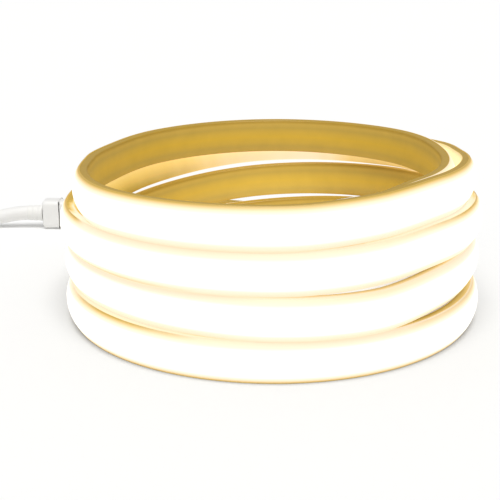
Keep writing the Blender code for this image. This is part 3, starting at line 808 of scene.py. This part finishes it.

# %% [markdown]
# The base is extruded golden PVC, translucent enough for the board's light to glow
# through it.  Where a wire lies in its groove less light comes through, so two darker
# stripes run along it, and the middle glows most.  Towards the top rim the colour is
# painted darker: painted shade on the rim.  A faint cloudiness at 6 mm keeps it from
# looking painted.  The shared light is added on top, deep gold where it is weak and nearly
# white where a dome is close.

# %% Golden base finish
golden, shader = finish("translucent_golden_pvc", roughness=0.42, ior=1.5,
                        emission_strength=1.0)
across = node(golden, "ShaderNodeUVMap", uv_map="UVMap")
split = node(golden, "ShaderNodeSeparateXYZ", {"Vector": across.outputs["UV"]})
bands = node(golden, "ShaderNodeValToRGB", {"Fac": split.outputs["Y"]})
# The ramp darkens towards 1, the top rim: painted shade.
stops(bands, [(0.0, "#C1A03C"), (0.05, "#C6A548"), (0.18, "#C2A44A"), (0.30, "#CEAC44"),
              (0.48, "#D4B03E"), (0.62, "#CEAC44"), (0.76, "#C0A24A"), (0.88, "#C8A84C"),
              (0.96, "#B08E32"), (1.0, "#A8882A")])
where = node(golden, "ShaderNodeTexCoord")
clouds = node(golden, "ShaderNodeTexNoise",
              {"Vector": where.outputs["Object"], "Scale": 1 / (6 * MM), "Detail": 3.0})
dim = node(golden, "ShaderNodeMapRange",
           {"Value": clouds.outputs["Fac"], "To Min": 0.93, "To Max": 1.07})
tinted = node(golden, "ShaderNodeVectorMath",
              {0: bands.outputs["Color"], "Scale": dim.outputs[0]}, operation="SCALE")
through = node(golden, "ShaderNodeVectorMath",
               {0: tinted.outputs[0], "Scale": 0.19}, operation="SCALE")
neighbour = node(golden, "ShaderNodeAttribute", attribute_name="shared_light")
# Painted light from the next turns' domes, read from the shared_light attribute.
painted_neighbour_light = node(golden, "ShaderNodeValToRGB", {"Fac": neighbour.outputs["Fac"]})
stops(painted_neighbour_light, [(0.0, "#000000"), (0.15, "#665A26"), (0.5, "#B8A577"), (0.65, "#C2B79C"),
               (0.8, "#CDC8BE"), (1.0, "#DAD1DC")])
glow = node(golden, "ShaderNodeVectorMath",
            {0: through.outputs[0], 1: painted_neighbour_light.outputs["Color"]}, operation="ADD")
golden.node_tree.links.new(tinted.outputs[0], shader.inputs["Base Color"])
golden.node_tree.links.new(glow.outputs[0], shader.inputs["Emission Color"])
paint(golden, base)

# %% [markdown]
# The connector, the plug and the caps are moulded white plastic.  Moulded ABS has a fine
# spark-eroded grain, about 0.3 mm, that takes the shine off it; the soft PVC of the caps
# and glands is a little duller and has the same grain.

# %% White mouldings
def moulded(name, code, roughness, grain, depth):
    """White moulded plastic: a slow drift of tone and a fine grain of a size in metres."""
    material, shader = finish(name, roughness=roughness, ior=1.5)
    where = node(material, "ShaderNodeTexCoord")
    drift = node(material, "ShaderNodeTexNoise",
                 {"Vector": where.outputs["Object"], "Scale": 1 / (9 * MM), "Detail": 2.0})
    tone = node(material, "ShaderNodeMapRange",
                {"Value": drift.outputs["Fac"], "To Min": 0.97, "To Max": 1.02})
    tinted = node(material, "ShaderNodeVectorMath",
                  {0: colour(code)[:3], "Scale": tone.outputs[0]}, operation="SCALE")
    material.node_tree.links.new(tinted.outputs[0], shader.inputs["Base Color"])
    fine = node(material, "ShaderNodeTexNoise",
                {"Vector": where.outputs["Object"], "Scale": 1 / grain, "Detail": 2.0})
    bump = node(material, "ShaderNodeBump",
                {"Height": fine.outputs["Fac"], "Distance": depth, "Strength": 0.5})
    material.node_tree.links.new(bump.outputs["Normal"], shader.inputs["Normal"])
    return material


abs_white = moulded("white_moulded_abs", "#F2F1EE", 0.42, 0.35 * MM, 0.03 * MM)
soft_white = moulded("white_soft_pvc", "#EFEEEA", 0.52, 0.5 * MM, 0.04 * MM)
sheath_white = moulded("white_pvc_cord_sheath", "#F0EFEC", 0.46, 0.8 * MM, 0.03 * MM)
paint(abs_white, plug_in, body)
paint(soft_white, cap, gland, relief)
paint(sheath_white, lead)

# %% [markdown]
# The pins are nickel-plated brass: a warm, bright metal with faint turning marks round
# it.  Their first half wears a white sleeve, which is simply other faces of the same pin.

# %% Pins' metal and sleeve
nickel, shader = finish("nickel_plated_brass", base_color=colour("#CFCBC2"), metallic=1.0,
                        roughness=0.24)
where = node(nickel, "ShaderNodeTexCoord")
marks = node(nickel, "ShaderNodeTexWave",
             {"Vector": where.outputs["Object"], "Scale": 1 / (3 * MM), "Distortion": 1.0},
             bands_direction="Y")
bump = node(nickel, "ShaderNodeBump",
            {"Height": marks.outputs["Fac"], "Distance": 0.01 * MM, "Strength": 0.3})
nickel.node_tree.links.new(bump.outputs["Normal"], shader.inputs["Normal"])
for pin in pins:
    paint(nickel, pin)
    pin.data.materials.append(abs_white)
    face_y = max(vertex.co.y for vertex in pin.data.vertices)
    for polygon in pin.data.polygons:
        if polygon.center.y > face_y - SLEEVE_LENGTH - 0.1 * MM:
            polygon.material_index = 1

# %% [markdown]
# The band is woven nylon with a hook face: pale grey, matt, with a rib about every
# 0.6 mm across it.

# %% Band's weave
woven, shader = finish("grey_woven_nylon", roughness=0.8)
where = node(woven, "ShaderNodeTexCoord")
ribs = node(woven, "ShaderNodeTexWave",
            {"Vector": where.outputs["Object"], "Scale": 0.3 / (0.6 * MM), "Distortion": 0.6,
             "Detail": 1.0}, bands_direction="DIAGONAL")
shades = node(woven, "ShaderNodeValToRGB", {"Fac": ribs.outputs["Fac"]})
stops(shades, [(0.0, "#A9A8A5"), (1.0, "#D2D1CD")])
bump = node(woven, "ShaderNodeBump",
            {"Height": ribs.outputs["Fac"], "Distance": 0.08 * MM, "Strength": 0.6})
woven.node_tree.links.new(shades.outputs["Color"], shader.inputs["Base Color"])
woven.node_tree.links.new(bump.outputs["Normal"], shader.inputs["Normal"])
paint(woven, tie)

# %% [markdown]
# Inside the strip are the circuit board, a thin polyimide ribbon under a yellow phosphor
# coat, and the two supply wires of tinned copper strands.  They keep their CAD shapes.

# %% Board and wires
phosphor, shader = finish("phosphor_coated_polyimide", roughness=0.6,
                          emission_strength=0.8)
where = node(phosphor, "ShaderNodeTexCoord")
spots = node(phosphor, "ShaderNodeTexVoronoi",
             {"Vector": where.outputs["Object"], "Scale": 1 / (4 * MM)})
coat = node(phosphor, "ShaderNodeValToRGB", {"Fac": spots.outputs["Distance"]})
stops(coat, [(0.1, "#FFF0B0"), (0.6, "#E2BE55")])
phosphor.node_tree.links.new(coat.outputs["Color"], shader.inputs["Base Color"])
phosphor.node_tree.links.new(coat.outputs["Color"], shader.inputs["Emission Color"])
paint(phosphor, frame["nodes"]["led_board"])

strands, shader = finish("tinned_copper_strands", base_color=colour("#C9A07C"), metallic=1.0,
                         roughness=0.35)
where = node(strands, "ShaderNodeTexCoord")
twist = node(strands, "ShaderNodeTexWave",
             {"Vector": where.outputs["Object"], "Scale": 0.3 / (0.5 * MM)},
             bands_direction="DIAGONAL")
bump = node(strands, "ShaderNodeBump",
            {"Height": twist.outputs["Fac"], "Distance": 0.05 * MM, "Strength": 0.8})
strands.node_tree.links.new(bump.outputs["Normal"], shader.inputs["Normal"])
paint(strands, frame["nodes"]["bus_wire_upper"], frame["nodes"]["bus_wire_lower"])

# %% [markdown]
# The floor is a plain white sweep.  The strip would outshine it, so light linking keeps
# the strip's own light off the floor, and off the white connector and lead as well.  What
# is left is the soft contact shadow that a studio shows under a product.

# %% Floor
bpy.ops.mesh.primitive_plane_add(size=30, location=(0, 0, 0))
floor = bpy.context.object
floor.name = "floor"
sweep, shader = finish("white_paper_sweep", base_color=colour("#E8E8E7"), roughness=0.9,
                       emission_color=colour("#FFFFFF"), emission_strength=0.15)
shader.inputs["Specular IOR Level"].default_value = 0.0
paint(sweep, floor)
floor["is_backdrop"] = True

unlit = bpy.data.collections.new("not_lit_by_the_strip")
for item in (floor, plug_in, gland, lead):
    unlit.objects.link(item)
for entry in unlit.collection_objects:
    entry.light_linking.link_state = "EXCLUDE"
for glowing in (dome, base, frame["nodes"]["led_board"]):
    glowing.light_linking.receiver_collection = unlit

# %% [markdown]
# The light is one very large soft lamp above and a little in front, and an even white room
# that fills its shadows.  Together they bring the paper to almost pure white.

# %% Light
world = bpy.context.scene.world or bpy.data.worlds.new("studio")
bpy.context.scene.world = world
world.use_nodes = True
room = world.node_tree.nodes["Background"]
room.inputs["Color"].default_value = (1, 1, 1, 1)
room.inputs["Strength"].default_value = 0.38
bpy.ops.object.light_add(type="SUN", location=AXIS + Vector((0, -0.8, 1.8)),
                         rotation=(math.radians(22), 0, 0))
sun = bpy.context.object
sun.name = "soft_top_light"
sun.data.energy = 2.3
sun.data.angle = math.radians(40)
bpy.context.scene.view_settings.view_transform = "Standard"

# %% Sizes, and finish
low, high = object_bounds()
print("visual box in mm", [round(side / MM, 1) for side in high - low])
